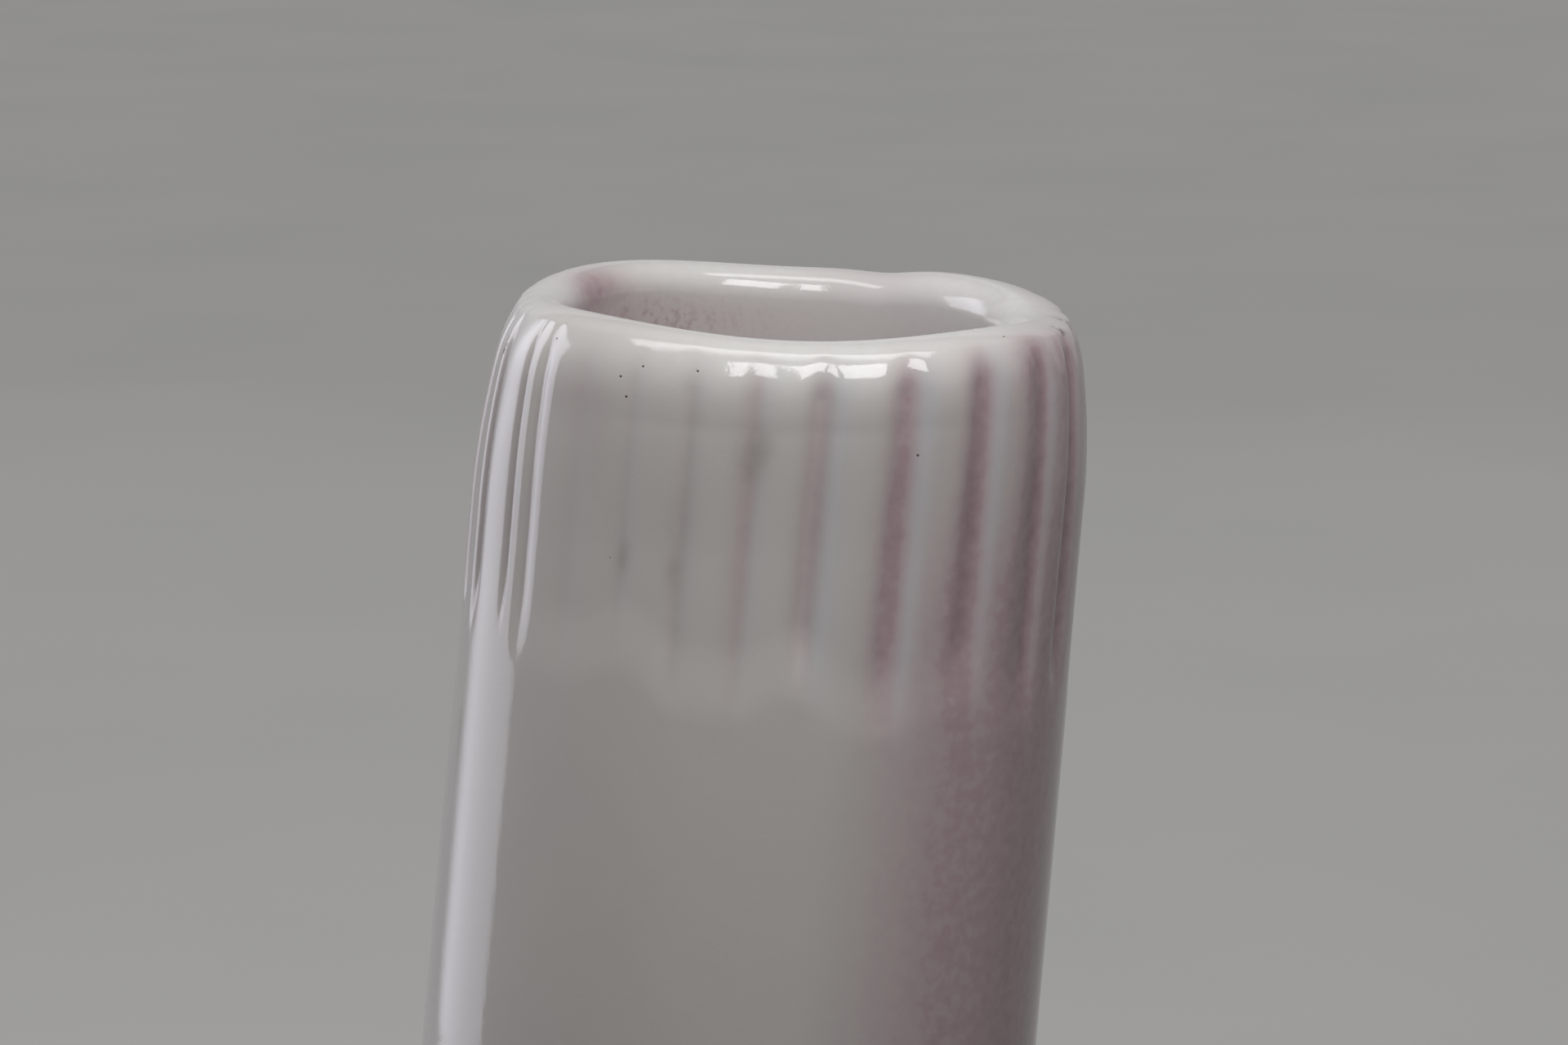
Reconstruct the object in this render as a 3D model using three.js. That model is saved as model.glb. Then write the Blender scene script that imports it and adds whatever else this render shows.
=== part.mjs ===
// A leaning, fluted vase, hand formed in pale clay and glazed inside and out.
// Millimetres, +Z up. It stands on z = 0 with its box centred on the Z axis, and its front faces -Y.
// A depth is measured inwards from the glazed outside of an even wall, square to that surface.

import * as THREE from 'three';

// Body: a tube of rounded section that leans towards +X and widens a little downwards
const HEIGHT = 210; // table to the mean crown of the lip
const BODY_RADIUS = 35; // half the body's width just below the shoulder
const BODY_TAPER = 0.0137; // radius gained for each millimetre downwards
const SECTION_RATIO = 0.96; // front to back over side to side
const SECTION_SQUARENESS = 2.2; // 2 is an ellipse, more is squarer
const SECTION_CORNERS = 4;
const LEAN = 0.0877; // sideways step for each millimetre of height
const WALL_THICKNESS = 6; // clay and both coats of glaze

// Shoulder and heel: where the wall draws in towards the crown of the lip and the foot
const SHOULDER_HEIGHT = 22.8;
const SHOULDER_TUCK = 3.22;
const SHOULDER_POWER = 1.9;
const HEEL_HEIGHT = 14;
const HEEL_TUCK = 5;
const HEEL_POWER = 2;

// Lip: round over the top, with a gentler edge below it outside and an upright mouth inside
const LIP_RADIUS = 2.4;
const LIP_SLOPE = THREE.MathUtils.degToRad(32); // of the outside where the edge passes into the round
const EDGE_HEIGHT = 6.5;
const EDGE_POWER = 3;
const FRONT_SWELL = 1.7; // how much fuller the front and back stay below the lip than the ends
const MOUTH_ROUND = 3.6; // height of the round on the inside of the lip
const MOUTH_WIDTH = 3.4; // its width
const MOUTH_EASE = 60; // height over which the wall thickens towards the mouth
const MOUTH_ENDS = 1.4; // extra thickness at the ends of the mouth, towards +X and -X
const MOUTH_SHIFT = 0.8; // how far the mouth lies towards -X from the middle of the body

// Rim: not quite level, with a rise at the soft corners of the section
const RIM_TILT = 1.17; // drop of the +X end below the mean crown
const RIM_CORNER_RISE = 0.44;
const RIM_EASE_HEIGHT = 60; // height over which the rim's unevenness dies away
const RIM_DIP = 0.45; // a thumb's dip at the back
const RIM_DIP_ANGLE = THREE.MathUtils.degToRad(158.6);
const RIM_DIP_SPREAD = THREE.MathUtils.degToRad(8);

// Flutes: grooves pressed into the top of the wall, crowded on one side
const FLUTE_COUNT = 27;
const FLUTE_DEPTH = 0.9;
const FLUTE_SHARPNESS = 2; // 1 is a plain wave, more is a narrower groove
const FLUTE_START = THREE.MathUtils.degToRad(-68.8); // turn of the first groove, from the front
const FLUTE_CROWDING = THREE.MathUtils.degToRad(18.1);
const FLUTE_CROWD_TURN = THREE.MathUtils.degToRad(27.6);
const FLUTE_LENGTH = 41; // crown to the mean lower end of the grooves
const FLUTE_SLANT = 5; // the grooves end this much lower at +X and higher at -X
const FLUTE_RUNOUT = 9; // height over which a groove fades out at its lower end
const FLUTE_EASE = 3; // how far below the lip a groove begins to fade out
const FLUTE_SINK = 0.45; // how far the pressing sank the front and the back between the grooves too
const SINK_EASE = 8; // how far below the lip that begins to fade out
const FAINT_SHARE = 0.85; // depth lost where the grooves were smoothed over
const FAINT_ANGLE = THREE.MathUtils.degToRad(-32);
const FAINT_SPREAD = THREE.MathUtils.degToRad(18);

// Glaze coats and the thin bond between them, the clay and the luted joints
const GLAZE_THICKNESS = 0.6;
const BOND = 0.3;
const BARE_HEIGHT = 1.8; // bare clay between the foot ring and the outer coat
const LAP_DEPTH = 9; // how far the outer coat laps down inside the mouth

// Floor and foot
const SLAB_THICKNESS = 6;
const FLOOR_FILLET = 5;
const FOOT_HEIGHT = 4.5;
const FOOT_WIDTH = 5;
const FOOT_INSET = 1;
const FOOT_ROUNDING = 1;

// Facets
const FACETS_PER_FLUTE = 4;
const FACETS = FACETS_PER_FLUTE * FLUTE_COUNT;
const HEEL_STEPS = 3;
const RUNOUT_STEPS = 4;
const SHOULDER_STEPS = 4;
const EDGE_STEPS = 2;
const LIP_STEPS = 3; // on each side of the crown
const MOUTH_STEPS = 5;
const FILLET_STEPS = 3;
const ROUNDING_STEPS = 2;
const LEAST_ROW_HEIGHT = 0.8; // rows of facets are no closer than this

// Heights and depths that several pieces share
const SHOULDER_FOOT = HEIGHT - SHOULDER_HEIGHT;
const LIP_FOOT = HEIGHT - LIP_RADIUS;
const MOUTH_TOP = HEIGHT - MOUTH_ROUND;
const EDGE_TOP = LIP_FOOT + LIP_RADIUS * Math.sin(LIP_SLOPE);
const EDGE_FOOT = EDGE_TOP - EDGE_HEIGHT;
const CROWN_RUN = LIP_RADIUS * (Math.PI / 2 - LIP_SLOPE); // over the surface from the edge to the crown
const SLAB_FOOT = FOOT_HEIGHT + BOND;
const SLAB_TOP = SLAB_FOOT + SLAB_THICKNESS;
const WALL_FOOT = SLAB_TOP + BOND;
const FLOOR_TOP = WALL_FOOT + GLAZE_THICKNESS;
const HEEL_TOP = SLAB_FOOT + HEEL_HEIGHT;
const COAT_FOOT = SLAB_FOOT + BARE_HEIGHT;
const LAP_END = HEIGHT - LAP_DEPTH;
const CLAY_OUTSIDE = GLAZE_THICKNESS + BOND;
const CLAY_INSIDE = WALL_THICKNESS - GLAZE_THICKNESS - BOND;
const LINER_BACK = WALL_THICKNESS - GLAZE_THICKNESS;

// Draw-ins that make the edge and the mouth run into the round of the lip
const SHOULDER_END_SLOPE = ((SHOULDER_TUCK * SHOULDER_POWER) / SHOULDER_HEIGHT)
  * reach(EDGE_TOP, SHOULDER_FOOT, SHOULDER_HEIGHT) ** (SHOULDER_POWER - 1);
const EDGE_TUCK = ((Math.tan(LIP_SLOPE) - SHOULDER_END_SLOPE) * EDGE_HEIGHT) / EDGE_POWER;
const LIP_CENTRE = bodyRadius(EDGE_TOP) - LIP_RADIUS * Math.cos(LIP_SLOPE);
const MOUTH_TUCK = BODY_RADIUS - WALL_THICKNESS - LIP_CENTRE + MOUTH_WIDTH;

/** Evenly spaced values from one end to the other, both ends included. */
function steps(from, to, count) {
  return Array.from({ length: count + 1 }, (_, i) => from + ((to - from) * i) / count);
}

/** Heights between two limits, sorted, with those too close to the one below left out. */
function rising(heights, from, to) {
  const between = heights.filter((z) => z > from + LEAST_ROW_HEIGHT && z < to - LEAST_ROW_HEIGHT);
  between.sort((a, b) => a - b);
  const kept = between.filter((z, i) => i === 0 || z - between[i - 1] >= LEAST_ROW_HEIGHT);
  return [from, ...kept, to];
}

/** How far up a draw-in the height has come, from 0 where it begins. */
function reach(height, begin, length) {
  return Math.max(0, (height - begin) / length);
}

/** Radius of the tube and its heel, before its top draws in. */
function tubeRadius(height) {
  const taper = BODY_TAPER * Math.max(0, SHOULDER_FOOT - height);
  const heel = HEEL_TUCK * reach(-height, -HEEL_TOP, HEEL_HEIGHT) ** HEEL_POWER;
  return BODY_RADIUS + taper - heel;
}

/** Radius of the glazed outside, before the hand forming. */
function bodyRadius(height) {
  const shoulder = SHOULDER_TUCK * reach(height, SHOULDER_FOOT, SHOULDER_HEIGHT) ** SHOULDER_POWER;
  const edge = EDGE_TUCK * reach(height, EDGE_FOOT, EDGE_HEIGHT) ** EDGE_POWER;
  return tubeRadius(height) - shoulder - edge;
}

/** Radius at a depth below a surface, square to it. */
function radiusBelow(surface, height, depth) {
  const span = 0.1;
  const slope = Math.atan((surface(height + span) - surface(height - span)) / (2 * span));
  return surface(height) - depth / Math.cos(slope);
}

/** Radius at a depth on the outer side of the wall. */
function outerRadius(height, depth) {
  return radiusBelow(bodyRadius, height, depth);
}

/** Share of the mouth's thickening at a height. */
function mouthShare(height) {
  return THREE.MathUtils.smoothstep(height, MOUTH_TOP - MOUTH_EASE, MOUTH_TOP);
}

/** How much further out the front and back stand, most at a fifth of the shoulder below the crown. */
function swell(height) {
  const above = 1 - reach(height, SHOULDER_FOOT, SHOULDER_HEIGHT);
  const most = 1 / 5;
  return FRONT_SWELL * ((1 - above) / (1 - most)) ** 2 * Math.sqrt(above / most);
}

/**
 * A profile point: the height it is formed by, its run past the edge on a fluted surface, its share of the
 * thickening at the mouth's ends and how much further out it lies at the front and back.
 */
function point(radius, height, { formedAt = height, run = Infinity, ends = 0, bulge = 0 } = {}) {
  return { radius, height, formedAt, run, ends, bulge };
}

/** A point on the inner side of the wall, which draws in to the upright mouth. */
function innerPoint(height, depth) {
  const mouth = mouthShare(height);
  return point(radiusBelow(tubeRadius, height, depth) - MOUTH_TUCK * mouth, height, { ends: mouth });
}

/** Share of a pressing that is left on the way up to the crown, where it is gone. */
function pressedShare(run, ease) {
  return THREE.MathUtils.clamp((CROWN_RUN - run) / (CROWN_RUN + ease), 0, 1);
}

/** Rows up the outside of the wall at a depth. */
function outside(depth, from) {
  const fluteEnd = HEIGHT - FLUTE_LENGTH - FLUTE_SLANT;
  const fluteFull = HEIGHT - FLUTE_LENGTH + FLUTE_SLANT + FLUTE_RUNOUT;
  const rows = [
    ...steps(SLAB_FOOT, HEEL_TOP, HEEL_STEPS),
    ...steps(fluteEnd, fluteFull, RUNOUT_STEPS),
    ...steps(SHOULDER_FOOT, EDGE_FOOT, SHOULDER_STEPS),
    ...steps(EDGE_FOOT, LIP_FOOT, EDGE_STEPS),
  ];
  return rising(rows, from, LIP_FOOT).map((z) => {
    const run = z - EDGE_TOP;
    return point(outerRadius(z, depth), z, { run, bulge: swell(z) });
  });
}

/** Rows down the inside of the wall at a depth, without flutes. */
function inside(depth, from, to) {
  const rows = [
    ...steps(SLAB_FOOT, HEEL_TOP, HEEL_STEPS),
    ...steps(MOUTH_TOP - MOUTH_EASE, MOUTH_TOP, MOUTH_STEPS),
  ];
  return rising(rows, to, from).reverse().map((z) => innerPoint(z, depth));
}

/** Rows over the round of the lip, from outside to inside, at a depth below its surface. */
function lip(depth) {
  const crown = Math.PI / 2;
  const angles = [...steps(LIP_SLOPE, crown, LIP_STEPS), ...steps(crown, Math.PI, LIP_STEPS).slice(1)];
  return angles.map((angle) => {
    const [width, rise] = angle < crown ? [LIP_RADIUS, LIP_RADIUS] : [MOUTH_WIDTH, MOUTH_ROUND];
    const radius = LIP_CENTRE + (width - depth) * Math.cos(angle);
    return point(radius, HEIGHT - rise + (rise - depth) * Math.sin(angle), {
      formedAt: HEIGHT,
      run: LIP_RADIUS * (angle - LIP_SLOPE),
      ends: THREE.MathUtils.smoothstep(angle, LIP_SLOPE, crown),
      bulge: (swell(EDGE_TOP) * Math.max(0, Math.cos(angle))) / Math.cos(LIP_SLOPE),
    });
  });
}

/** A bell of height 1 round a middle angle. */
function bell(angle, middle, spread) {
  return Math.exp(-(((angle - middle) / spread) ** 2));
}

/** Depth of the pressing at a profile point and a turn of the section. */
function pressedDepth(row, turn, angle) {
  const across = ((1 + Math.cos(FLUTE_COUNT * (turn - FLUTE_START))) / 2) ** FLUTE_SHARPNESS;
  const faint = 1 - FAINT_SHARE * bell(angle, FAINT_ANGLE, FAINT_SPREAD);
  const end = HEIGHT - FLUTE_LENGTH - FLUTE_SLANT * Math.sin(angle);
  const along = THREE.MathUtils.smoothstep(row.formedAt, end, end + FLUTE_RUNOUT);
  const facing = Math.cos(angle) ** 2;
  const groove = FLUTE_DEPTH * across * faint * pressedShare(row.run, FLUTE_EASE) ** (1.5 + facing / 2);
  const sink = FLUTE_SINK * facing * pressedShare(row.run, SINK_EASE) ** 2;
  return (groove + sink) * along;
}

/** Where a turned point lies after the vase was squared, fluted, leaned and its rim left uneven. */
function handFormed(row, turn) {
  const angle = turn - FLUTE_CROWDING * Math.cos(turn - FLUTE_CROWD_TURN);
  const side = Math.sin(angle);
  const front = Math.cos(angle);
  const corners = Math.abs(side) ** SECTION_SQUARENESS + Math.abs(front) ** SECTION_SQUARENESS;
  const radius = row.radius * corners ** (-1 / SECTION_SQUARENESS) - pressedDepth(row, turn, angle)
    + row.bulge * (1 - side ** 4) - row.ends * side * (MOUTH_ENDS * side + MOUTH_SHIFT);
  const unevenness = -RIM_TILT * side - RIM_CORNER_RISE * Math.cos(SECTION_CORNERS * angle)
    - RIM_DIP * bell(angle, RIM_DIP_ANGLE, RIM_DIP_SPREAD);
  const ease = Math.min(1, reach(row.formedAt, HEIGHT - RIM_EASE_HEIGHT, RIM_EASE_HEIGHT)) ** 2;
  return new THREE.Vector3(
    LEAN * row.height + radius * side,
    -SECTION_RATIO * radius * front,
    row.height + unevenness * ease,
  );
}

/** A named piece: its profile turned round the axis, then hand formed. */
function piece(name, rows, material) {
  const profile = rows.map((row) => new THREE.Vector2(row.radius, row.height));
  const geometry = new THREE.LatheGeometry(profile, FACETS, FLUTE_START);
  const position = geometry.getAttribute('position');
  for (let i = 0; i < position.count; i += 1) {
    const facet = Math.floor(i / rows.length) % FACETS;
    const turn = FLUTE_START + (2 * Math.PI * facet) / FACETS;
    const placed = handFormed(rows[i % rows.length], turn);
    position.setXYZ(i, placed.x, placed.y, placed.z);
  }
  geometry.computeVertexNormals();
  const mesh = new THREE.Mesh(geometry, material);
  mesh.name = name;
  return mesh;
}

/** A profile that returns to its first point. */
function closed(rows) {
  return [...rows, rows[0]];
}

/** Glossy white glaze with a pink cast. */
function glaze(color) {
  return new THREE.MeshStandardMaterial({ color, roughness: 0.15, metalness: 0 });
}

/** Bare fired clay, dry and matt. */
function clay(color) {
  return new THREE.MeshStandardMaterial({ color, roughness: 0.85, metalness: 0 });
}

/** The coat over the outside and the lip, lapped down inside the mouth. */
function outerGlaze() {
  const front = [...outside(0, COAT_FOOT), ...lip(0), innerPoint(LAP_END, WALL_THICKNESS)];
  const back = [
    ...outside(GLAZE_THICKNESS, COAT_FOOT),
    ...lip(GLAZE_THICKNESS),
    innerPoint(LAP_END, LINER_BACK),
  ];
  return piece('outer_glaze', closed([...front, ...back.reverse()]), glaze('#cfc8c6'));
}

/** The liner: from the lap down the inside, round the corner and over the floor. */
function innerGlaze() {
  const top = LAP_END - BOND;
  const filletTop = FLOOR_TOP + FLOOR_FILLET;
  const filletRadius = innerPoint(filletTop, WALL_THICKNESS).radius - FLOOR_FILLET;
  const fillet = steps(0, Math.PI / 2, FILLET_STEPS).slice(1).map((angle) => {
    const height = filletTop - FLOOR_FILLET * Math.sin(angle);
    return point(filletRadius + FLOOR_FILLET * Math.cos(angle), height);
  });
  const back = inside(LINER_BACK, top, WALL_FOOT).reverse();
  const rows = [
    point(0, WALL_FOOT),
    ...back,
    ...inside(WALL_THICKNESS, top, filletTop),
    ...fillet,
    point(0, FLOOR_TOP),
  ];
  return piece('inner_glaze', rows, glaze('#c9bfbd'));
}

/** The fluted clay wall with its round lip, standing on the slab. */
function clayWall() {
  const rows = [
    ...outside(CLAY_OUTSIDE, WALL_FOOT),
    ...lip(CLAY_OUTSIDE),
    ...inside(CLAY_INSIDE, LAP_END, WALL_FOOT),
  ];
  return piece('clay_wall', closed(rows), clay('#d8d2c8'));
}

/** The floor: a slab as wide as the wall that stands on it. */
function baseSlab() {
  const edge = steps(SLAB_FOOT, SLAB_TOP, ROUNDING_STEPS).map((z) => point(outerRadius(z, CLAY_OUTSIDE), z));
  return piece('base_slab', [point(0, SLAB_FOOT), ...edge, point(0, SLAB_TOP)], clay('#d8d2c8'));
}

/** The ring that the vase stands on, flat below and with both lower edges rounded. */
function footRing() {
  const outer = outerRadius(SLAB_FOOT, CLAY_OUTSIDE) - FOOT_INSET;
  const inner = outer - FOOT_WIDTH;
  const quarter = steps(0, Math.PI / 2, ROUNDING_STEPS);
  const innerEdge = quarter.map((angle) => point(
    inner + FOOT_ROUNDING * (1 - Math.cos(angle)),
    FOOT_ROUNDING * (1 - Math.sin(angle)),
  ));
  const outerEdge = quarter.map((angle) => point(
    outer - FOOT_ROUNDING * (1 - Math.sin(angle)),
    FOOT_ROUNDING * (1 - Math.cos(angle)),
  ));
  const rows = [...innerEdge, ...outerEdge, point(outer, FOOT_HEIGHT), point(inner, FOOT_HEIGHT)];
  return piece('foot_ring', closed(rows), clay('#cdbfae'));
}

const vase = new THREE.Group();
vase.name = 'vase';
vase.add(footRing(), baseSlab(), clayWall(), innerGlaze(), outerGlaze());

const middle = new THREE.Box3().setFromObject(vase).getCenter(new THREE.Vector3());
vase.position.set(-middle.x, -middle.y, 0);

export default vase;
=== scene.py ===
"""Looks of a leaning, fluted vase: two coats of glaze over pale clay, on a plain pale table.

Sizes are in millimetres and meshes in metres, in the frame of the solids. The front faces -Y.
"""

import logging
import math
from collections.abc import Callable
from dataclasses import dataclass, field
from enum import Enum

import bpy
import numpy as np
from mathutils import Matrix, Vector


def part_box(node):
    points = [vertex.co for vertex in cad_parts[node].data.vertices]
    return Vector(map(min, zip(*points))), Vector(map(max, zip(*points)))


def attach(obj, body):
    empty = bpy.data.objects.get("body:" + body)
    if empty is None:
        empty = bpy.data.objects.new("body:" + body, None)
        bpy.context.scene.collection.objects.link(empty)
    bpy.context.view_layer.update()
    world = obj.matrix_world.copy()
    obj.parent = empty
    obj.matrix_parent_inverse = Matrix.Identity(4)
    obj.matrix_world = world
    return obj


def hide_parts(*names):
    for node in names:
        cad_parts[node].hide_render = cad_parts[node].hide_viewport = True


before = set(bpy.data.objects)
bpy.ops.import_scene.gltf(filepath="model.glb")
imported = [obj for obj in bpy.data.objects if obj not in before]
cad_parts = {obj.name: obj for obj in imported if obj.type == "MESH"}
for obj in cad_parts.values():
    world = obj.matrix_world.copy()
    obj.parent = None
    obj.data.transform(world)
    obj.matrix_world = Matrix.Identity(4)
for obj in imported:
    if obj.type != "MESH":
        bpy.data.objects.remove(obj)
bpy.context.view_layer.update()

LOG = logging.getLogger("vase")
MM = 0.001
BODY = "root"
SHARP_ANGLE = math.radians(50)
ON_AXIS_MM = 1e-6  # an end row narrower than this is a pole
# Points up the wall and across a flute, for setting the form on the frame and for finding the specks
FRAME_ROWS, FRAME_COLUMNS = 200, 20
SPECK_ROWS, SPECK_LIP_STEPS, SPECK_COLUMNS = 100, 40, 60
# Sockets of a mix of two colours
MIX_SHARE, MIX_UNDER, MIX_OVER, MIX_RESULT = 0, 6, 7, 2

Socket = bpy.types.NodeSocket
Tree = bpy.types.NodeTree


def linear(hex_colour: str) -> tuple[float, float, float, float]:
    """Turn an sRGB hex colour into linear RGBA.

    Args:
        hex_colour: Six hex digits after a hash.

    Returns:
        The linear colour with full alpha.
    """
    channels = [int(hex_colour[i:i + 2], 16) / 255 for i in (1, 3, 5)]
    return (*[c / 12.92 if c <= 0.04045 else ((c + 0.055) / 1.055) ** 2.4 for c in channels], 1.0)


def per_metre(size_mm: float) -> float:
    """Scale of a texture whose features are this many millimetres wide."""
    return 1 / (size_mm * MM)


def add_node(tree: Tree, kind: str, inputs: dict | None = None, **settings: object) -> bpy.types.Node:
    """Add a node with its settings, input values and links.

    Args:
        tree: The tree that gets the node.
        kind: The node's type, without the shader prefix.
        inputs: Values or output sockets by input name or number.
        settings: The node's own properties.

    Returns:
        The new node.
    """
    node = tree.nodes.new("ShaderNode" + kind)
    for name, value in settings.items():
        setattr(node, name, value)
    for key, value in (inputs or {}).items():
        if isinstance(value, Socket):
            tree.links.new(value, node.inputs[key])
        else:
            node.inputs[key].default_value = value
    return node


def new_material(name: str) -> tuple[bpy.types.Material, Tree]:
    """Make an empty node material.

    Args:
        name: The material's name.

    Returns:
        The material and its emptied tree.
    """
    material = bpy.data.materials.new(name)
    material.use_nodes = True
    material.node_tree.nodes.clear()
    return material, material.node_tree


def smooth(values: np.ndarray, low: float | np.ndarray, high: float | np.ndarray) -> np.ndarray:
    """Smooth step from 0 at low to 1 at high."""
    t = np.clip((values - low) / (high - low), 0, 1)
    return t * t * (3 - 2 * t)


def bell(values: np.ndarray, middle: float, spread: float | np.ndarray) -> np.ndarray:
    """Bell curve of height 1 round a middle."""
    return np.exp(-((values - middle) / spread) ** 2)


def wrapped(angles: np.ndarray) -> np.ndarray:
    """Angles brought into the turn from -pi to pi."""
    return (angles + math.pi) % (2 * math.pi) - math.pi


def round_bell(degrees: np.ndarray, middle: float, spread: float) -> np.ndarray:
    """Bell curve round a middle on the circle of degrees."""
    return bell((degrees - middle + 180) % 360 - 180, 0, spread)


class Stain(Enum):
    """Amounts at each point of a coat that its colours follow."""

    PINK = "pink"
    # Partly opalescence, partly a painted reflection of the side lamp on the flanks beside the grooves
    OPAL_AND_REFLECTION = "opal_and_reflection"
    # Painted light: how much lighter the lip and the inside of the mouth are made
    PAINTED_CROWN_LIGHT = "crown"
    SMOKE = "smoke"
    FLECK = "fleck"
    CHIP = "chip"


@dataclass(frozen=True)
class Rows:
    """Profile points in order, in millimetres.

    formed_at is the height that the hand forming goes by, and run the way over the surface past the
    start of the lip, which is negative below it. ends is the share of the thickening at the mouth's
    ends, and bulge how much further out a point lies at the front and back.
    """

    radius: np.ndarray
    height: np.ndarray
    formed_at: np.ndarray
    run: np.ndarray
    ends: np.ndarray
    bulge: np.ndarray

    @classmethod
    def plain(cls, radius: np.ndarray, height: np.ndarray, run: np.ndarray) -> "Rows":
        """Rows that are formed by their own height, without thickening or bulge."""
        return cls(radius, height, height, run, np.zeros_like(height), np.zeros_like(height))

    def columns(self) -> tuple[np.ndarray, ...]:
        """The values of all rows, one array for each field."""
        return self.radius, self.height, self.formed_at, self.run, self.ends, self.bulge

    def joined(self, *others: "Rows") -> "Rows":
        """Put rows end to end.

        Args:
            others: The rows that follow.

        Returns:
            One set of rows.
        """
        return Rows(*(np.concatenate(values) for values in zip(*(s.columns() for s in (self, *others)))))

    def reversed(self) -> "Rows":
        """The same rows from the other end."""
        return Rows(*(values[::-1] for values in self.columns()))


@dataclass(frozen=True)
class OddFlute:
    """A flute that came out unlike the others: how far it slipped round, its depth and its sharpness."""

    index: int
    slip_deg: float
    depth: float
    sharpness: float


ODD_FLUTES = (
    OddFlute(26, 0.0, 0.6, 5.0),
    OddFlute(0, -1.2, 0.55, 7.0),
    OddFlute(1, 2.7, 0.5, 12.0),
    OddFlute(2, -1.6, 0.65, 2.0),
    OddFlute(3, 0.0, 0.5, 1.3),
    OddFlute(5, 0.0, 0.55, 3.0),
    OddFlute(6, 0.0, 0.28, 3.0),
    OddFlute(7, -0.9, 0.95, 4.0),
    OddFlute(8, 1.1, 0.85, 3.0),
    OddFlute(9, 1.6, 0.8, 2.6),
    OddFlute(10, 1.5, 0.6, 2.2),
)


@dataclass
class HandForm:
    """The vase's form: a turned profile that was squared, fluted and leaned, with an uneven rim."""

    height: float = 210
    body_radius: float = 35
    body_taper: float = 0.0137  # radius gained for each millimetre downwards
    section_ratio: float = 0.96  # front to back over side to side
    squareness: float = 2.2  # 2 is an ellipse, more is squarer
    corners: int = 4
    lean: float = 0.0877  # sideways step for each millimetre of height
    wall: float = 6  # clay and both coats of glaze
    shoulder_height: float = 22.8
    shoulder_tuck: float = 3.22
    shoulder_power: float = 1.9
    heel_height: float = 14
    heel_tuck: float = 5
    heel_power: float = 2
    lip_radius: float = 2.4
    lip_slope: float = math.radians(32)
    edge_height: float = 6.5
    edge_power: float = 3
    front_swell: float = 1.7
    mouth_round: float = 3.6
    mouth_width: float = 3.4
    mouth_ease: float = 60
    mouth_ends: float = 1.4
    mouth_shift: float = 0.8
    rim_tilt: float = 1.17
    rim_corner_rise: float = 0.44
    rim_ease: float = 60
    rim_dip: float = 0.45
    rim_dip_angle: float = math.radians(158.6)
    rim_dip_spread: float = math.radians(8)
    flute_count: int = 27
    flute_depth: float = 0.9
    flute_sharpness: float = 3.5
    flute_start: float = math.radians(-68.8)
    flute_crowding: float = math.radians(18.1)
    flute_crowd_turn: float = math.radians(27.6)
    flute_length: float = 41
    flute_slant: float = 5
    flute_runout: float = 9
    flute_ease: float = 3
    flute_sink: float = 0.45
    sink_ease: float = 8
    faint_share: float = 0.85
    faint_angle: float = math.radians(-32)
    faint_spread: float = math.radians(18)
    glaze: float = 0.6
    bond: float = 0.3
    bare_height: float = 1.8
    lap_depth: float = 9
    slab: float = 6
    floor_fillet: float = 5
    foot_height: float = 4.5
    foot_width: float = 5
    foot_inset: float = 1
    foot_rounding: float = 1
    gather: float = 0.6  # how much closer the columns of a mesh stand in the grooves
    slip_spread: float = 0.7  # flutes beside a slipped one that moved with it
    sway: float = 0.07  # slow unevenness that the hands left in the wall
    sway_long: float = 19  # height for a radian of its longer wave
    sway_short: float = 11.5  # and of its shorter one
    end_sway: float = 1.2  # how uneven the ends of the grooves are, up to twice this
    shift: np.ndarray = field(default_factory=lambda: np.zeros(3))

    def __post_init__(self) -> None:
        """Work out the heights that several pieces share."""
        self.lip_run = self.lip_radius * (math.pi - self.lip_slope)
        self.crown_run = self.lip_radius * (math.pi / 2 - self.lip_slope)
        self.lip_foot = self.height - self.lip_radius
        self.mouth_top = self.height - self.mouth_round
        self.shoulder_foot = self.height - self.shoulder_height
        self.edge_top = self.lip_foot + self.lip_radius * math.sin(self.lip_slope)
        self.slab_foot = self.foot_height + self.bond
        self.wall_foot = self.slab_foot + self.slab + self.bond
        self.floor_top = self.wall_foot + self.glaze
        self.heel_top = self.slab_foot + self.heel_height
        self.coat_foot = self.slab_foot + self.bare_height
        self.lap_end = self.height - self.lap_depth
        self.flute_spacing = 2 * math.pi / self.flute_count
        end = (self.edge_top - self.shoulder_foot) / self.shoulder_height
        full_slope = self.shoulder_tuck * self.shoulder_power / self.shoulder_height
        end_slope = full_slope * end ** (self.shoulder_power - 1)
        self.edge_tuck = (math.tan(self.lip_slope) - end_slope) * self.edge_height / self.edge_power
        self.lip_centre = self.body(np.float64(self.edge_top)) - self.lip_radius * math.cos(self.lip_slope)
        self.mouth_tuck = self.body_radius - self.wall - self.lip_centre + self.mouth_width

    def tube(self, height: np.ndarray) -> np.ndarray:
        """Radius of the tube and its heel, before its top draws in.

        Args:
            height: Heights above the table.

        Returns:
            The radius at each height.
        """
        heel = np.clip((self.heel_top - height) / self.heel_height, 0, None) ** self.heel_power
        taper = self.body_taper * np.clip(self.shoulder_foot - height, 0, None)
        return self.body_radius + taper - self.heel_tuck * heel

    def body(self, height: np.ndarray) -> np.ndarray:
        """Radius of the glazed outside before the hand forming.

        Args:
            height: Heights above the table.

        Returns:
            The radius at each height.
        """
        above = np.clip((height - self.shoulder_foot) / self.shoulder_height, 0, None)
        shoulder = above ** self.shoulder_power
        edge = np.clip((height - self.edge_top) / self.edge_height + 1, 0, None) ** self.edge_power
        return self.tube(height) - self.shoulder_tuck * shoulder - self.edge_tuck * edge

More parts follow.
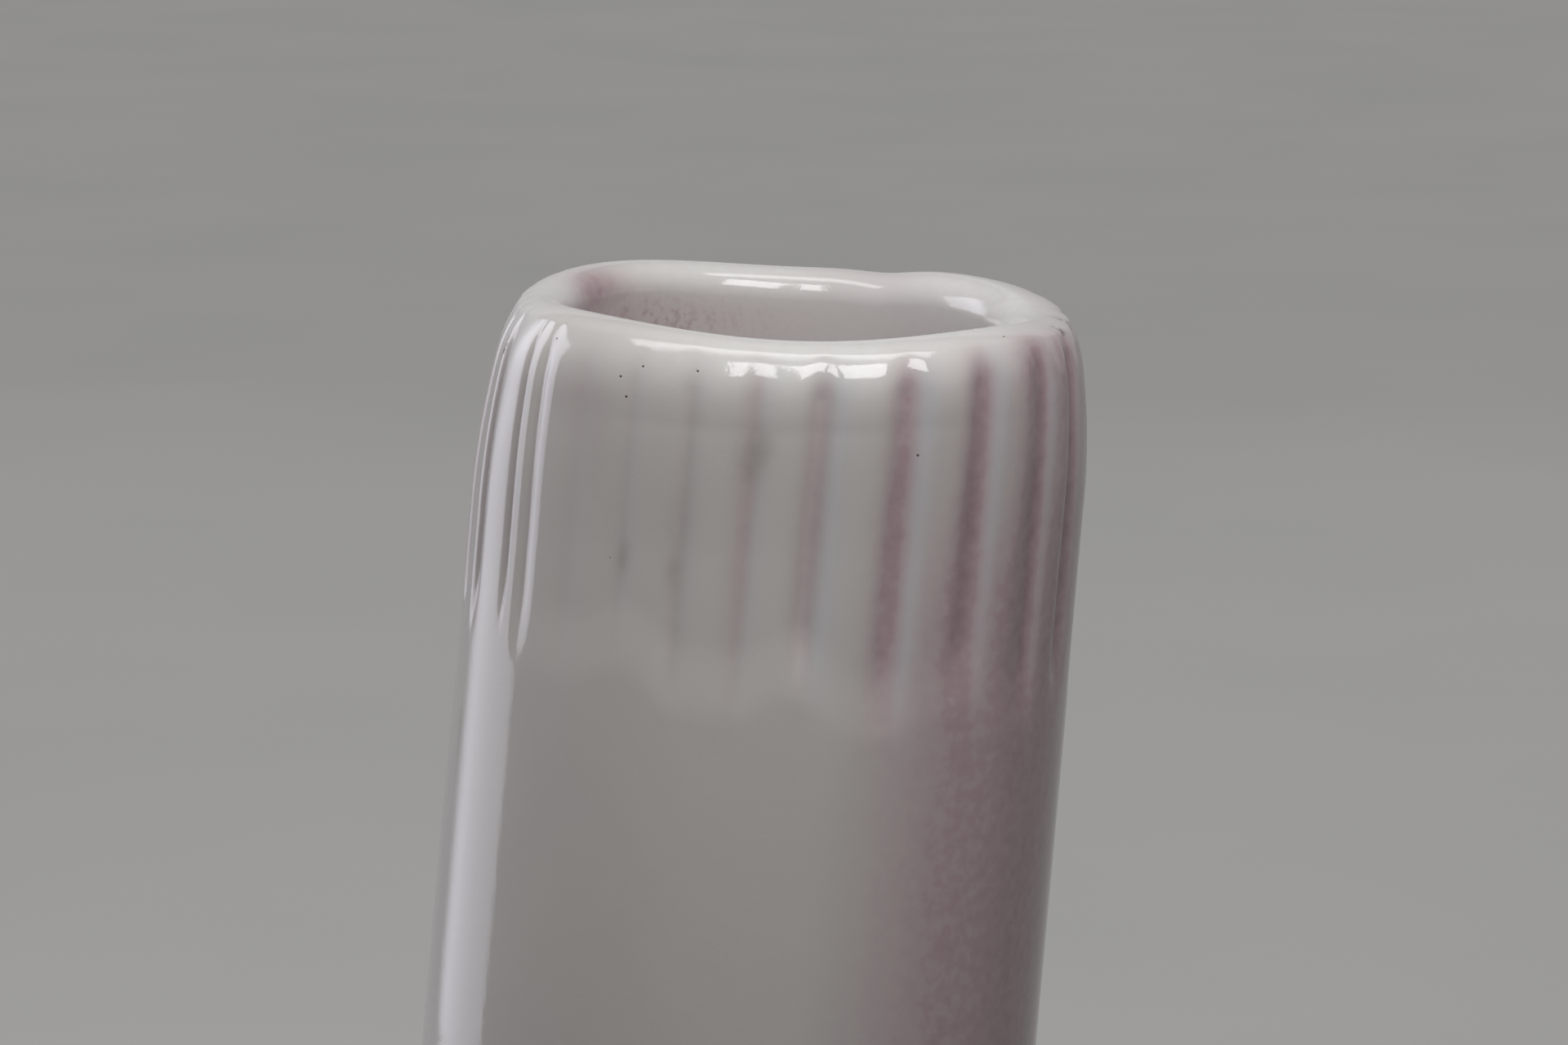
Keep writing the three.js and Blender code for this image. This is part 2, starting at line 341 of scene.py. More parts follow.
    def below(self, surface: Callable[[np.ndarray], np.ndarray], height: np.ndarray,
              depth: np.ndarray | float) -> np.ndarray:
        """Radius at a depth below a surface, square to it.

        Args:
            surface: Gives the surface's radius at a height.
            height: Heights above the table.
            depth: Depths below the surface.

        Returns:
            The radius at each height.
        """
        span = 0.1
        rise = surface(height + span) - surface(height - span)
        return surface(height) - depth / np.cos(np.arctan(rise / (2 * span)))

    def swell(self, height: np.ndarray) -> np.ndarray:
        """How much further out the front and back stand than the ends.

        Args:
            height: Heights above the table.

        Returns:
            Millimetres, greatest at a fifth of the shoulder's height below the crown.
        """
        above = 1 - np.clip((height - self.shoulder_foot) / self.shoulder_height, 0, 1)
        most = 1 / 5
        return self.front_swell * ((1 - above) / (1 - most)) ** 2 * np.sqrt(above / most)

    def outside(self, heights: np.ndarray, depth: np.ndarray | float) -> Rows:
        """Rows on the outer side of the wall at a depth."""
        radius = self.below(self.body, heights, depth)
        return Rows(radius, heights, heights, heights - self.edge_top, np.zeros_like(heights),
                    self.swell(heights))

    def inside(self, heights: np.ndarray, depth: float) -> Rows:
        """Rows on the inner side of the wall, which draws in to the upright mouth.

        Args:
            heights: Heights above the table.
            depth: Depth below the glazed outside.

        Returns:
            The rows.
        """
        mouth = smooth(heights, self.mouth_top - self.mouth_ease, self.mouth_top)
        radius = self.below(self.tube, heights, depth) - self.mouth_tuck * mouth
        return Rows(radius, heights, heights, self.lip_run + self.mouth_top - heights, mouth,
                    np.zeros_like(heights))

    def lip(self, count: int, depth: float) -> Rows:
        """Rows over the round of the lip, from outside to inside.

        Args:
            count: Number of steps over the lip.
            depth: Depth below the glazed surface.

        Returns:
            The rows.
        """
        angle = np.linspace(self.lip_slope, math.pi, count + 1)
        out = angle < math.pi / 2
        width = np.where(out, self.lip_radius, self.mouth_width) - depth
        rise = np.where(out, self.lip_radius, self.mouth_round)
        return Rows(
            self.lip_centre + width * np.cos(angle),
            self.height - rise + (rise - depth) * np.sin(angle),
            np.full_like(angle, self.height),
            self.lip_radius * (angle - self.lip_slope),
            smooth(angle, self.lip_slope, math.pi / 2),
            self.swell(self.edge_top) * np.clip(np.cos(angle), 0, None) / math.cos(self.lip_slope),
        )

    def turns(self, count: int) -> np.ndarray:
        """Turns of the section for the columns of a mesh, closer together in the grooves."""
        even = np.arange(count) * 2 * math.pi / count
        return self.flute_start + even - self.gather / self.flute_count * np.sin(self.flute_count * even)

    def angle_of(self, turn: np.ndarray) -> np.ndarray:
        """Angle from the front at each turn, which the crowding and slipping of the flutes moves.

        Args:
            turn: Turns of the section.

        Returns:
            Angles from -pi to pi.
        """
        angle = turn - self.flute_crowding * np.cos(turn - self.flute_crowd_turn)
        for flute in ODD_FLUTES:
            middle = self.flute_start + flute.index * self.flute_spacing
            near = bell(wrapped(turn - middle), 0, self.slip_spread * self.flute_spacing)
            angle = angle + math.radians(flute.slip_deg) * near
        return wrapped(angle)

    def flute_phase(self, turn: np.ndarray) -> np.ndarray:
        """Place across a flute: 0 in the groove, positive on the side towards +X at the front."""
        return wrapped(self.flute_count * (turn - self.flute_start))

    def flute_end(self, angle: np.ndarray) -> np.ndarray:
        """Height at which the grooves end, a little uneven as the fingers stopped.

        Args:
            angle: Angles from the front.

        Returns:
            The height at each angle.
        """
        # Waves round the vase that keep no time with the flutes
        uneven = np.sin(11 * angle + 0.7) + np.sin(18 * angle) * np.sin(5 * angle + 1)
        return self.height - self.flute_length - self.flute_slant * np.sin(angle) + self.end_sway * uneven

    def pressed(self, rows: Rows, turn: np.ndarray) -> np.ndarray:
        """Depth that the pressing of the flutes left.

        Args:
            rows: Profile points.
            turn: Turns of the section.

        Returns:
            Depth by row and turn.
        """
        angle = self.angle_of(turn)
        depth = np.full(self.flute_count, self.flute_depth)
        sharpness = np.full(self.flute_count, float(self.flute_sharpness))
        for flute in ODD_FLUTES:
            depth[flute.index], sharpness[flute.index] = flute.depth, flute.sharpness
        index = np.round((turn - self.flute_start) / self.flute_spacing).astype(int) % self.flute_count
        across = depth[index] * ((1 + np.cos(self.flute_phase(turn))) / 2) ** sharpness[index]
        faint = 1 - self.faint_share * bell(angle, self.faint_angle, self.faint_spread)
        end = self.flute_end(angle)
        along = smooth(rows.formed_at[:, None], end, end + self.flute_runout)
        facing = np.cos(angle) ** 2
        groove, sink = (np.clip((self.crown_run - rows.run[:, None]) / (self.crown_run + ease), 0, 1)
                        for ease in (self.flute_ease * (1 + facing / 2), self.sink_ease))
        return (across * faint * groove ** (1.5 + facing / 2) + self.flute_sink * facing * sink ** 2) * along

    def unevenness(self, height: np.ndarray, angle: np.ndarray) -> np.ndarray:
        """Share of the sway that the hands left at each point.

        Args:
            height: Heights above the table.
            angle: Angles from the front.

        Returns:
            Shares from 0 to 1 by row and turn.
        """
        long_wave = np.sin(height / self.sway_long + 3 * angle) * np.cos(2 * angle + 0.6)
        short_wave = np.sin(height / self.sway_short + 2 * angle + 1)
        return 0.5 + (long_wave + short_wave) / 4

    def place(self, rows: Rows, turn: np.ndarray) -> np.ndarray:
        """Where the turned points lie after the hand forming.

        Args:
            rows: Profile points.
            turn: Turns of the section.

        Returns:
            Points in millimetres by row and turn.
        """
        angle = self.angle_of(turn)
        side, front = np.sin(angle), np.cos(angle)
        corner = np.abs(side) ** self.squareness + np.abs(front) ** self.squareness
        section = corner ** (-1 / self.squareness)
        height = rows.height[:, None]
        free = np.clip(rows.radius / self.body_radius, 0, 1)[:, None]
        radius = rows.radius[:, None] * section - self.pressed(rows, turn)
        radius = radius - self.sway * free * self.unevenness(height, angle)
        ends = rows.ends[:, None] * side * (self.mouth_ends * side + self.mouth_shift)
        radius += rows.bulge[:, None] * (1 - side ** 4) - ends
        uneven = (-self.rim_tilt * side - self.rim_corner_rise * np.cos(self.corners * angle)
                  - self.rim_dip * bell(angle, self.rim_dip_angle, self.rim_dip_spread))
        ease = np.clip((rows.formed_at - self.height + self.rim_ease) / self.rim_ease, 0, 1) ** 2
        return np.stack([
            self.lean * height + radius * side,
            -self.section_ratio * radius * front,
            height + uneven * ease[:, None],
        ], -1) + self.shift


def turned_piece(name: str, points: np.ndarray, stains: dict[Stain, np.ndarray]) -> bpy.types.Object:
    """Make a closed piece of rows of points, with poles where its end rows lie on the axis.

    Args:
        name: The piece's name.
        points: Points in millimetres by row and turn.
        stains: Amounts by row and turn for the material.

    Returns:
        The piece, in metres.
    """
    count, turns = points.shape[:2]
    index = np.arange(count * turns).reshape(count, turns)
    on_axis = np.ptp(points[0], axis=0).max() < ON_AXIS_MM
    rings = index[1:-1] if on_axis else np.vstack([index, index[:1]])
    low, high = rings[:-1], rings[1:]
    quads = np.stack([low, np.roll(low, -1, 1), np.roll(high, -1, 1), high], -1).reshape(-1, 4)
    faces = quads.tolist()
    if on_axis:
        first, last = rings[0], rings[-1]
        faces += np.stack([np.full(turns, index[0, 0]), np.roll(first, -1), first], -1).tolist()
        faces += np.stack([np.full(turns, index[-1, 0]), last, np.roll(last, -1)], -1).tolist()
    flat = points.reshape(-1, 3) * MM
    corners = flat[quads]
    volume = np.einsum("ij,ij->i", corners[:, 0], np.cross(corners[:, 1], corners[:, 2]))
    volume += np.einsum("ij,ij->i", corners[:, 0], np.cross(corners[:, 2], corners[:, 3]))
    if volume.sum() < 0:
        faces = [face[::-1] for face in faces]
    used = np.unique(np.concatenate([quads.ravel(), index[[0, -1], 0]]))
    place = np.zeros(count * turns, int)
    place[used] = np.arange(len(used))
    mesh = bpy.data.meshes.new(name)
    mesh.from_pydata(flat[used].tolist(), [], [[int(place[i]) for i in face] for face in faces])
    for stain, amount in stains.items():
        layer = mesh.attributes.new(stain.value, "FLOAT", "POINT")
        layer.data.foreach_set("value", np.ascontiguousarray(amount.reshape(-1)[used], np.float32))
    mesh.shade_smooth()
    mesh.set_sharp_from_angle(angle=SHARP_ANGLE)
    piece = bpy.data.objects.new(name, mesh)
    bpy.context.scene.collection.objects.link(piece)
    return piece


@dataclass(frozen=True)
class Noise:
    """A cloudy noise: its features' width, its detail, the part that shows and its least value."""

    size_mm: float
    detail: float
    begin: float
    full: float
    least: float = 0.0


class Texture(Enum):
    """The noises in the glaze."""

    CLOUD = Noise(24, 3, 0.35, 0.7)
    CURDLE = Noise(1.5, 4, 0.25, 0.75, 0.7)
    FLECK = Noise(0.8, 3, 0.48, 0.74)
    CRACKLE = Noise(0.45, 3, 0.44, 0.56)
    PEEL = Noise(1.6, 1, 0.0, 1.0)
    GRAIN = Noise(0.38, 1, 0.0, 1.0)  # drawn coarser than the real grain, so that it shows


@dataclass(frozen=True)
class Layer:
    """A colour over the white.

    It follows the product of its stain and its noise, from where that begins to where it is full.
    """

    colour: str
    stain: Stain | None
    texture: Texture
    begin: float
    full: float


GLAZE_LAYERS = (
    Layer("#d0ccc8", None, Texture.CLOUD, 0.0, 1.0),
    # Painted light: a lighter white over the lip and, more faintly, down inside the mouth
    Layer("#e6e4e1", Stain.PAINTED_CROWN_LIGHT, Texture.CURDLE, 0.0, 0.75),
    # Partly opalescence, partly a painted reflection of the cool side lamp beside the grooves
    Layer("#d0cfd2", Stain.OPAL_AND_REFLECTION, Texture.CURDLE, 0.0, 0.75),
    Layer("#bda6aa", Stain.PINK, Texture.CURDLE, 0.0, 0.46),
    Layer("#9c838a", Stain.PINK, Texture.CURDLE, 0.4, 0.85),
    Layer("#a4727a", Stain.FLECK, Texture.FLECK, 0.0, 1.0),
    Layer("#8d8880", Stain.SMOKE, Texture.CURDLE, 0.0, 0.8),
    Layer("#5f5142", Stain.CHIP, Texture.CRACKLE, 0.0, 0.6),
)


@dataclass(frozen=True)
class MilkGlaze:
    """Milk-white feldspar glaze, poured over pale clay and fired glossy.

    It is glassy and faintly uneven, like orange peel, with a fine grain and a few pinholes. Where it ran
    together it turned pink, spread onto one flank of each groove partly as painted shade. Beside the
    grooves it looks cool and bluish, partly opalescence and partly a painted reflection of the side lamp,
    and the lip and mouth are painted lighter as painted light.
    """

    specks: tuple[Vector, ...]
    name: str = "milk_white_glaze_poured"
    white: str = "#d3cec9"
    pinhole: str = "#4a413b"
    roughness: tuple[float, float] = (0.05, 0.1)
    ior: float = 1.52
    pinhole_cell_mm: float = 8
    pinhole_radius_mm: float = 0.13
    speck_radius_mm: float = 0.17
    peel_height_mm: float = 0.012
    grain_share: float = 0.7
    pit_share: float = -3.0

    def material(self) -> bpy.types.Material:
        """Make the glaze.

        Returns:
            The material.
        """
        material, tree = new_material(self.name)
        place = add_node(tree, "TexCoord").outputs["Object"]
        noise = {}
        for texture in Texture:
            look = texture.value
            cloudy = add_node(tree, "TexNoise", {
                "Vector": place, "Scale": per_metre(look.size_mm), "Detail": look.detail})
            noise[texture] = add_node(tree, "MapRange", {
                "Value": cloudy.outputs["Fac"], "From Min": look.begin, "From Max": look.full,
                "To Min": look.least}).outputs["Result"]
        pit = self.pits(tree, place)
        low, high = self.roughness
        gloss = add_node(tree, "MapRange", {"Value": noise[Texture.CURDLE], "To Min": low, "To Max": high})
        shader = add_node(tree, "BsdfPrincipled", {
            "Base Color": self.colour(tree, noise, pit),
            "Roughness": gloss.outputs["Result"],
            "Normal": self.skin(tree, noise, pit),
            "IOR": self.ior,
        })
        add_node(tree, "OutputMaterial", {"Surface": shader.outputs[0]})
        return material

    def pits(self, tree: Tree, place: Socket) -> Socket:
        """Pinholes, as far apart as the cells of a foam, and the larger specks.

        Args:
            tree: The material's tree.
            place: Where a point lies.

        Returns:
            1 in a pit and 0 outside.
        """
        share = self.pinhole_radius_mm / self.pinhole_cell_mm
        foam = add_node(tree, "TexVoronoi", {"Vector": place, "Scale": per_metre(self.pinhole_cell_mm)})
        pit = add_node(tree, "MapRange", {
            "Value": foam.outputs["Distance"], "From Min": share, "From Max": share / 2}).outputs["Result"]
        for speck in self.specks:
            gap = add_node(tree, "VectorMath", {0: place, 1: speck}, operation="DISTANCE")
            spot = add_node(tree, "MapRange", {
                "Value": gap.outputs["Value"], "From Min": self.speck_radius_mm * MM,
                "From Max": self.speck_radius_mm * MM / 2})
            pit = add_node(tree, "Math", {0: pit, 1: spot.outputs["Result"]}, operation="MAXIMUM").outputs[0]
        return pit

    def colour(self, tree: Tree, noise: dict[Texture, Socket], pit: Socket) -> Socket:
        """White that turns pink or plum by how the coat ran, cool beside the grooves partly as a painted
        reflection, and lighter over the lip and mouth as painted light.

        Args:
            tree: The material's tree.
            noise: The noises.
            pit: 1 in a pit.

        Returns:
            The colour.
        """
        shade = linear(self.white)
        for layer in GLAZE_LAYERS:
            amount = noise[layer.texture]
            if layer.stain:
                stain = add_node(tree, "Attribute", attribute_name=layer.stain.value)
                amount = add_node(tree, "Math", {0: stain.outputs["Fac"], 1: amount},
                                  operation="MULTIPLY").outputs[0]
            cover = add_node(tree, "MapRange", {
                "Value": amount, "From Min": layer.begin, "From Max": layer.full})
            shade = add_node(tree, "Mix", {
                MIX_SHARE: cover.outputs["Result"], MIX_UNDER: shade, MIX_OVER: linear(layer.colour),
            }, data_type="RGBA").outputs[MIX_RESULT]
        return add_node(tree, "Mix", {
            MIX_SHARE: pit, MIX_UNDER: shade, MIX_OVER: linear(self.pinhole),
        }, data_type="RGBA").outputs[MIX_RESULT]

    def skin(self, tree: Tree, noise: dict[Texture, Socket], pit: Socket) -> Socket:
        """Orange peel with a fine grain, and a dent at each pit.

        Args:
            tree: The material's tree.
            noise: The noises.
            pit: 1 in a pit.

        Returns:
            The normal.
        """
        level = noise[Texture.PEEL]
        for part, share in ((noise[Texture.GRAIN], self.grain_share), (pit, self.pit_share)):
            level = add_node(tree, "Math", {0: part, 1: share, 2: level},
                             operation="MULTIPLY_ADD").outputs[0]
        return add_node(tree, "Bump", {
            "Height": level, "Strength": 1.0, "Distance": self.peel_height_mm * MM}).outputs["Normal"]


@dataclass(frozen=True)
class FiredClay:
    """Pale stoneware clay with fine grog, dry from the kiln: matt, sandy, with a few rusty iron spots."""

    name: str = "pale_stoneware_fired"
    clay: str = "#cdc3b4"
    toasted: str = "#b9a78f"
    iron: str = "#7a5a41"
    roughness: float = 0.85
    ior: float = 1.5
    roughness_play: float = 0.08
    patch_mm: float = 9
    patch_detail: float = 5
    patch_range: tuple[float, float] = (0.38, 0.68)
    grog_mm: float = 0.55
    grog_detail: float = 3
    grog_range: tuple[float, float] = (0.3, 0.7)
    grog_shade: tuple[float, float] = (0.82, 1.08)  # how dark and how light the grains are
    grog_height_mm: float = 0.05
    iron_cell_mm: float = 3
    iron_share: float = 0.09

    def material(self) -> bpy.types.Material:
        """Make the clay.

        Returns:
            The material.
        """
        material, tree = new_material(self.name)
        place = add_node(tree, "TexCoord").outputs["Object"]
        patch = add_node(tree, "TexNoise", {
            "Vector": place, "Scale": per_metre(self.patch_mm), "Detail": self.patch_detail})
        grog = add_node(tree, "TexNoise", {
            "Vector": place, "Scale": per_metre(self.grog_mm), "Detail": self.grog_detail})
        spots = add_node(tree, "TexVoronoi", {"Vector": place, "Scale": per_metre(self.iron_cell_mm)})
        toast = add_node(tree, "MapRange", {
            "Value": patch.outputs["Fac"], "From Min": self.patch_range[0], "From Max": self.patch_range[1]})
        shade = add_node(tree, "Mix", {
            MIX_SHARE: toast.outputs[0], MIX_UNDER: linear(self.clay), MIX_OVER: linear(self.toasted),
        }, data_type="RGBA")
        sand = add_node(tree, "MapRange", {
            "Value": grog.outputs["Fac"], "From Min": self.grog_range[0], "From Max": self.grog_range[1],
            "To Min": self.grog_shade[0], "To Max": self.grog_shade[1]})
        shade = add_node(tree, "Mix", {
            MIX_SHARE: 1.0, MIX_UNDER: shade.outputs[MIX_RESULT], MIX_OVER: sand.outputs[0],
        }, data_type="RGBA", blend_type="MULTIPLY")
        spot = add_node(tree, "MapRange", {
            "Value": spots.outputs["Distance"], "From Min": self.iron_share,
            "From Max": self.iron_share / 2})
        shade = add_node(tree, "Mix", {
            MIX_SHARE: spot.outputs[0], MIX_UNDER: shade.outputs[MIX_RESULT],
            MIX_OVER: linear(self.iron),
        }, data_type="RGBA")
        grain = add_node(tree, "Bump", {
            "Height": grog.outputs["Fac"], "Strength": 1.0, "Distance": self.grog_height_mm * MM})
        rough = add_node(tree, "MapRange", {
            "Value": patch.outputs["Fac"], "To Min": self.roughness - self.roughness_play,
            "To Max": self.roughness + self.roughness_play})
        shader = add_node(tree, "BsdfPrincipled", {
            "Base Color": shade.outputs[MIX_RESULT], "Roughness": rough.outputs[0], "IOR": self.ior,
            "Normal": grain.outputs[0]})
        add_node(tree, "OutputMaterial", {"Surface": shader.outputs[0]})
        return material


@dataclass(frozen=True)
class PaintedBoard:
    """Board under flat pale paint, rolled on: even, with the faint stipple of the roller."""

    name: str = "board_painted_flat"
    paint: str = "#656463"
    worn: str = "#60605f"
    roughness: float = 0.75
    stipple_mm: float = 2.5
    stipple_detail: float = 2
    stipple_height_mm: float = 0.03
    cloud_mm: float = 160
    cloud_detail: float = 3
    lift: float = 2.2  # keeps the table pale to the eye without more light on the vase

    def material(self) -> bpy.types.Material:
        """Make the paint.

        Returns:
            The material.
        """
        material, tree = new_material(self.name)
        place = add_node(tree, "TexCoord").outputs["Object"]
        cloud = add_node(tree, "TexNoise", {
            "Vector": place, "Scale": per_metre(self.cloud_mm), "Detail": self.cloud_detail})
        stipple = add_node(tree, "TexNoise", {
            "Vector": place, "Scale": per_metre(self.stipple_mm), "Detail": self.stipple_detail})
        shade = add_node(tree, "Mix", {
            MIX_SHARE: cloud.outputs["Fac"], MIX_UNDER: linear(self.paint), MIX_OVER: linear(self.worn),
        }, data_type="RGBA").outputs[MIX_RESULT]
        bump = add_node(tree, "Bump", {
            "Height": stipple.outputs["Fac"], "Strength": 1.0, "Distance": self.stipple_height_mm * MM})
        path = add_node(tree, "LightPath")
        seen = path.outputs["Is Camera Ray"]
        for ray in ("Is Glossy Ray", "Is Transmission Ray"):
            seen = add_node(tree, "Math", {0: seen, 1: path.outputs[ray]}, operation="MAXIMUM").outputs[0]
        lift = add_node(tree, "Math", {0: seen, 1: self.lift}, operation="MULTIPLY")
        shader = add_node(tree, "BsdfPrincipled", {
            "Base Color": shade, "Roughness": self.roughness, "Normal": bump.outputs[0],
            "Emission Color": shade, "Emission Strength": lift.outputs[0]})
        add_node(tree, "OutputMaterial", {"Surface": shader.outputs[0]})
        return material


@dataclass(frozen=True)
class Mark:
    """A soft mark in the glaze: its angle from the front, its run past the lip's start and its size."""

    stain: Stain
    angle_deg: float
    run: float
    half_width: float
    half_height: float
    strength: float


MARKS = (
    Mark(Stain.SMOKE, -5.5, -11.1, 1.6, 2.9, 0.34),
    Mark(Stain.SMOKE, -3.6, -9.5, 1.2, 1.6, 0.2),
    Mark(Stain.SMOKE, -27.5, -22.7, 0.8, 1.8, 0.3),
    Mark(Stain.SMOKE, -18.2, -23.9, 0.8, 2.0, 0.24),
    Mark(Stain.SMOKE, -18.0, -18.2, 2.0, 4.0, 0.1),
    Mark(Stain.SMOKE, -68.8, -45.9, 0.8, 2.2, 0.3),
    Mark(Stain.PINK, 32.0, -50.7, 0.55, 0.7, 0.4),
    Mark(Stain.SMOKE, 32.0, -50.9, 0.35, 0.4, 0.4),
    Mark(Stain.PINK, -40.0, -6.2, 3.5, 3.0, 0.12),
    Mark(Stain.PINK, -35.0, -9.2, 2.5, 6.0, 0.1),
    Mark(Stain.CHIP, -70.0, -3.6, 0.5, 0.9, 0.9),
    Mark(Stain.CHIP, 69.0, 0.3, 0.8, 0.6, 0.9),
    Mark(Stain.CHIP, 86.0, 0.4, 1.3, 0.8, 0.8),
)

# Angles from the front and runs past the lip's start of the dark specks
SPECKS = (
    (-49.0, -1.4), (-27.2, -2.4), (-31.0, -3.7), (-29.5, -5.6), (-17.0, -2.2), (24.0, -11.0), (45.0, 0.7),
)


@dataclass(frozen=True)
class Lay:
    """Where the points of a coat lie, by row and turn.

    degrees is the angle from the front, phase the place across a flute, height what the hand forming
    goes by, run the way past the start of the lip, and groove_end the height at which grooves end.
    """

    degrees: np.ndarray
    phase: np.ndarray
    height: np.ndarray
    run: np.ndarray
    groove_end: np.ndarray


@dataclass
class Coat:
    """What the two coats of glaze share: how the glaze ran, the painted light, reflection and shade on it,
    and the marks in it.
    """

    form: HandForm
    finish: bpy.types.Material
    # Angles from the front, and how strongly the grooves there turned pink
    round_deg: tuple[float, ...] = (
        -180, -120, -80, -68, -52, -38, -28, -17, -7, 6, 20, 35, 50, 70, 120, 180)
    groove_pink: tuple[float, ...] = (
        0.5, 0.45, 0.3, 0.22, 0.12, 0.06, 0.1, 0.16, 0.32, 0.36, 0.64, 0.78, 0.88, 0.92, 0.75, 0.5)
    painted_crown_light: float = 0.8  # how strongly the lip and the mouth are painted lighter, as painted light

    def lay(self, rows: Rows, turn: np.ndarray) -> Lay:
        """Where the points of a surface lie.

        Args:
            rows: Profile points.
            turn: Turns of the section.

        Returns:
            Their places, as rows and columns that spread over each other.
        """
        angle = self.form.angle_of(turn)[None, :]
        return Lay(np.degrees(angle), self.form.flute_phase(turn)[None, :], rows.formed_at[:, None],
                   rows.run[:, None], self.form.flute_end(angle))

    def pooled_and_flank_shade(self, lay: Lay, fluted: np.ndarray) -> np.ndarray:
        """Pink where the glaze ran together in the grooves, broader on the side towards -X, the flank turned
        from the side lamp, where the broader spread is partly painted shade.

        Args:
            lay: Where the points lie.
            fluted: Share of the flutes at each point.

        Returns:
            Amounts by row and turn.
        """
        # Wider towards -X: partly painted shade on the flank turned from the side lamp
        off = wrapped(lay.phase - 0.1)
        broad = 1.45 + 0.6 * smooth(lay.degrees, 24, 48)
        streak = bell(off, 0, np.where(off < 0, broad, 0.9))
        foot = 0.65 + 0.35 * smooth(lay.height, lay.groove_end, self.form.shoulder_foot + 6)
        thinning = foot * (1 - 0.25 * smooth(lay.height, 188, 203))
        return streak * fluted * thinning * np.interp(lay.degrees, self.round_deg, self.groove_pink)

    def blush(self, lay: Lay, cool: np.ndarray) -> np.ndarray:
        """Pink that lies over the wall towards +X, thin on the ribs and strong on their crests there.

        Args:
            lay: Where the points lie.
            cool: Share of the cool flanks beside the grooves, partly a painted reflection of the side lamp.

        Returns:
            Amounts by row and turn.
        """
        degrees = lay.degrees
        right = 0.52 * smooth(degrees, 8, 40) + 0.2 * smooth(degrees, 42, 56)
        right = right * (1 - smooth(degrees, 118, 165))
        rib_tops = 0.72 * smooth(lay.height, 178, 196) * (1 - 0.6 * smooth(degrees, 38, 64))
        crest = 0.46 * smooth(degrees, 32, 56) * (1 - smooth(degrees, 105, 150))
        crest = crest * smooth(lay.height, 194, 204)
        over_lip = 1 - smooth(lay.run, -1.6, 3)
        return np.maximum(right * (1 - rib_tops), crest) * over_lip * (1 - 0.55 * cool)

    def mouth_pink(self, lay: Lay, within: np.ndarray) -> np.ndarray:
        """Pink inside the mouth, with one strong patch near its -X end.

        Args:
            lay: Where the points lie.
            within: Share of the inside at each point.

        Returns:
            Amounts by row and turn.
        """
        patch = 0.5 * round_bell(lay.degrees, -119, 14) * bell(lay.run, 4.8, 2.0)
        back = 0.07 * round_bell(lay.degrees, 180, 45)
        end = 0.26 * round_bell(lay.degrees, -115, 45)
        return patch + within * (0.05 + back + end + 0.08 * smooth(lay.run, 12, 20))

    def stains(self, rows: Rows, turn: np.ndarray) -> dict[Stain, np.ndarray]:
        """How the glaze ran over a surface, the painted light, reflection and shade on it, and the marks in
        it.

        Args:
            rows: Profile points.
            turn: Turns of the section.

        Returns:
            Amounts by row and turn.
        """
        lay = self.lay(rows, turn)
        degrees, run = lay.degrees, lay.run
        fluted = smooth(lay.height, lay.groove_end - 5, lay.groove_end + 13) * (1 - smooth(run, -5, 1.8))
        # Cool flanks beside the grooves, on their side towards +X: partly opalescence, partly a painted
        # reflection of the side lamp
        cool = bell(lay.phase, 1.4, 0.9) * fluted
        within = smooth(run, 4, 8)
        back_lip = 0.14 * round_bell(degrees, 160, 18) * bell(run, 3.5, 2.5)
        white = (1 - self.pooled_and_flank_shade(lay, fluted)) * (1 - self.blush(lay, cool))
        pink = 1 - white * (1 - self.mouth_pink(lay, within)) * (1 - back_lip)
        # Painted light: the lip is made lighter, and the inside of the mouth at six tenths of that; less of
        # it towards the front-left
        dull = 1 - 0.75 * round_bell(degrees, -42, 26)
        crown = smooth(run, -8, 0) * (1 - 0.4 * smooth(run, 6, 14)) * dull
        amounts = {
            Stain.PINK: pink,
            Stain.OPAL_AND_REFLECTION: cool * (0.2 + 0.8 * smooth(degrees, -10, 25)),
            Stain.PAINTED_CROWN_LIGHT: self.painted_crown_light * crown,
            Stain.FLECK: 0.68 * within * round_bell(degrees, -136, 28) * bell(run, 10.3, 3.6),
            Stain.SMOKE: np.zeros_like(pink),
            Stain.CHIP: np.zeros_like(pink),
        }
        for mark in MARKS:
            turned = (degrees - mark.angle_deg + 180) % 360 - 180
            across = turned * math.pi / 180 * self.form.body_radius
            up = (run - mark.run) / mark.half_height
            spot = mark.strength * np.exp(-(across / mark.half_width) ** 2 - up ** 2)
            amounts[mark.stain] = 1 - (1 - amounts[mark.stain]) * (1 - spot)
        return amounts

    def finished(self, name: str, node: str, rows: Rows, columns: int) -> bpy.types.Object:
        """Make the coat's piece and dress it.

        Args:
            name: The piece's name.
            node: The solid that it stands for, which is hidden.
            rows: Its profile.
            columns: Its number of columns.

        Returns:
            The piece.
        """
        turn = self.form.turns(columns)
        piece = turned_piece(name, self.form.place(rows, turn), self.stains(rows, turn))
        piece.data.materials.append(self.finish)
        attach(piece, BODY)
        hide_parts(node)
        return piece


